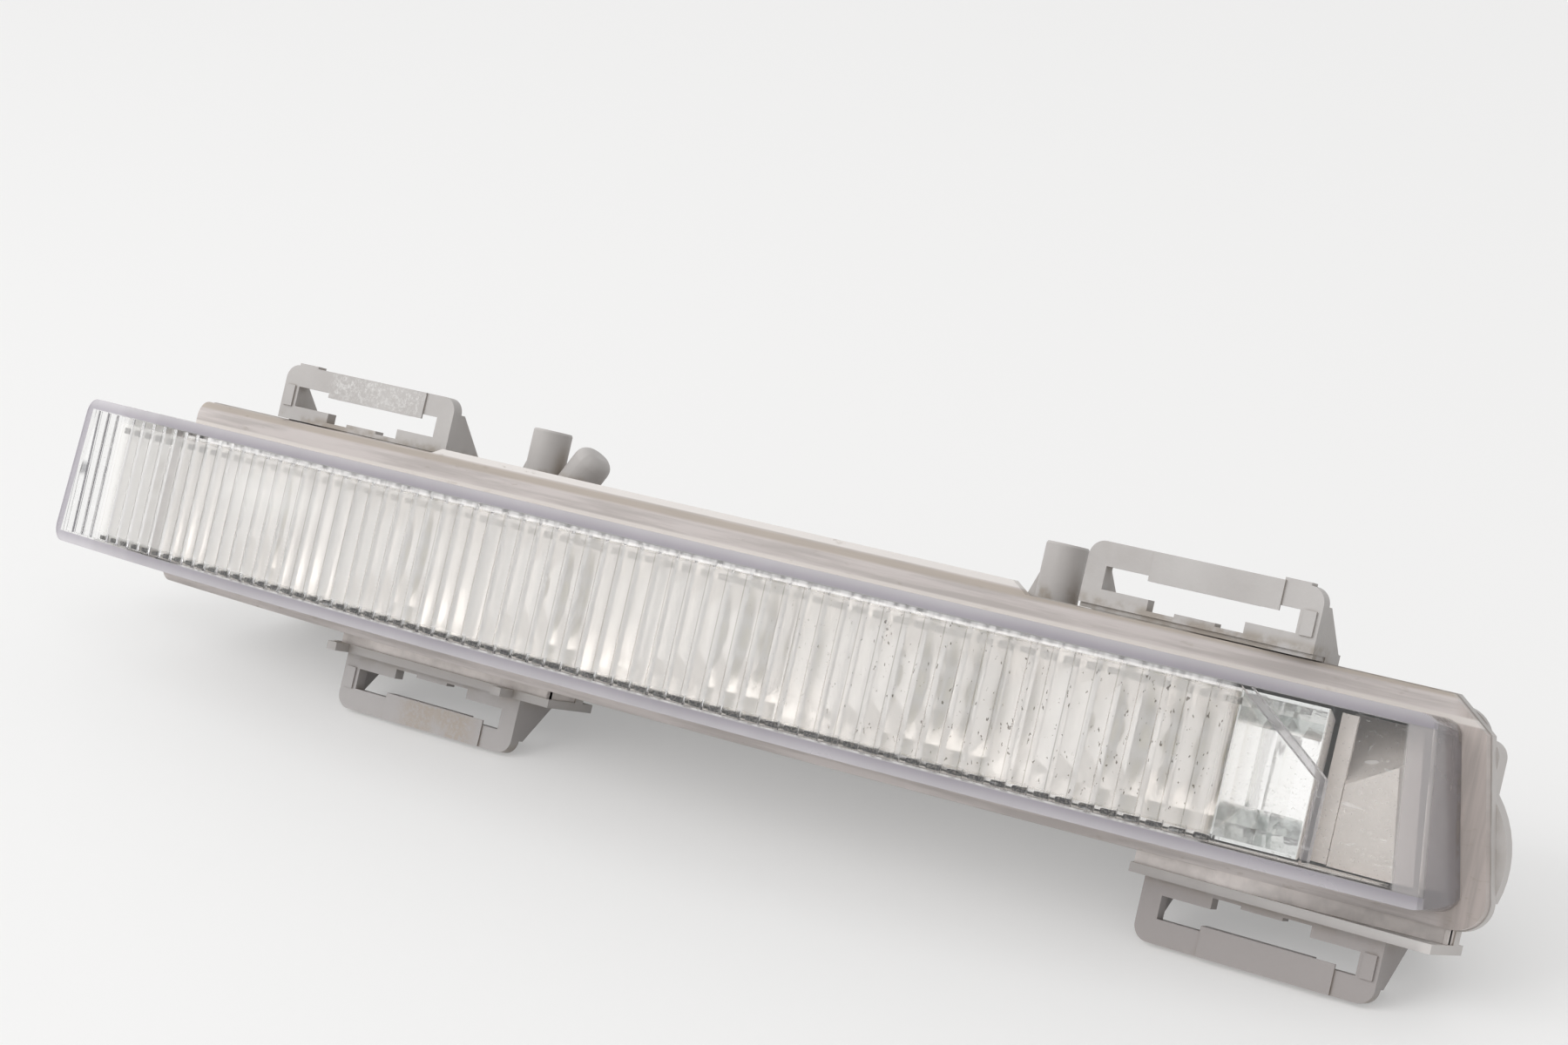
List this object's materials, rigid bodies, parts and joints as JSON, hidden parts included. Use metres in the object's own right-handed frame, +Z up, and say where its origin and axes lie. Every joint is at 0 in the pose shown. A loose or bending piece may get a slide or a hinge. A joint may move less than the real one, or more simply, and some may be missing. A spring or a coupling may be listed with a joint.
{
  "type": "daytime running light",
  "caption": "Long slim LED daytime running light for a car bumper: bowed clear fluted lens with an overhanging wing on a grey moulded housing with snap-clip brackets.",
  "frame": {"origin": "centre of the lamp's footprint box on the floor that it stands on", "axes": "+X along the lamp from its clear wing to its windowed end, -Y the way the lens faces, +Z up from the floor"},
  "size_m": [0.3349, 0.0848, 0.0656],
  "materials": {
    "housing": "fine matt moulding with brown dirt in the recesses",
    "lens": "clear, lightly scratched, violet-grey at the rim",
    "seal": "satin",
    "reflector": "metallised, bright",
    "bezel": "satin",
    "led_board": "white solder mask",
    "led": "phosphor dome",
    "heat_sink": "mill finish",
    "screws": "zinc plated",
    "driver_board": "solder mask",
    "inductor": "ferrite",
    "capacitor": "can",
    "chip": "moulded",
    "pins": "tinned",
    "breather": "matt",
    "connector": "moulded"
  },
  "bodies": {
    "root": {"breather_cap": "breather", "connector_pins": "pins", "connector_shroud": "connector", "driver_board": "driver_board", "driver_capacitor_1": "capacitor", "driver_capacitor_2": "capacitor", "driver_chip": "chip", "driver_inductor": "inductor", "driver_screws": "screws", "end_bezel": "bezel", "heat_sink": "heat_sink", "led_1": "led", "led_2": "led", "led_3": "led", "led_4": "led", "led_5": "led", "led_6": "led", "led_board": "led_board", "lens": "lens", "lens_seal": "seal", "rear_housing": "housing", "reflector": "reflector", "sink_screws": "screws"}
  },
  "joints": []
}
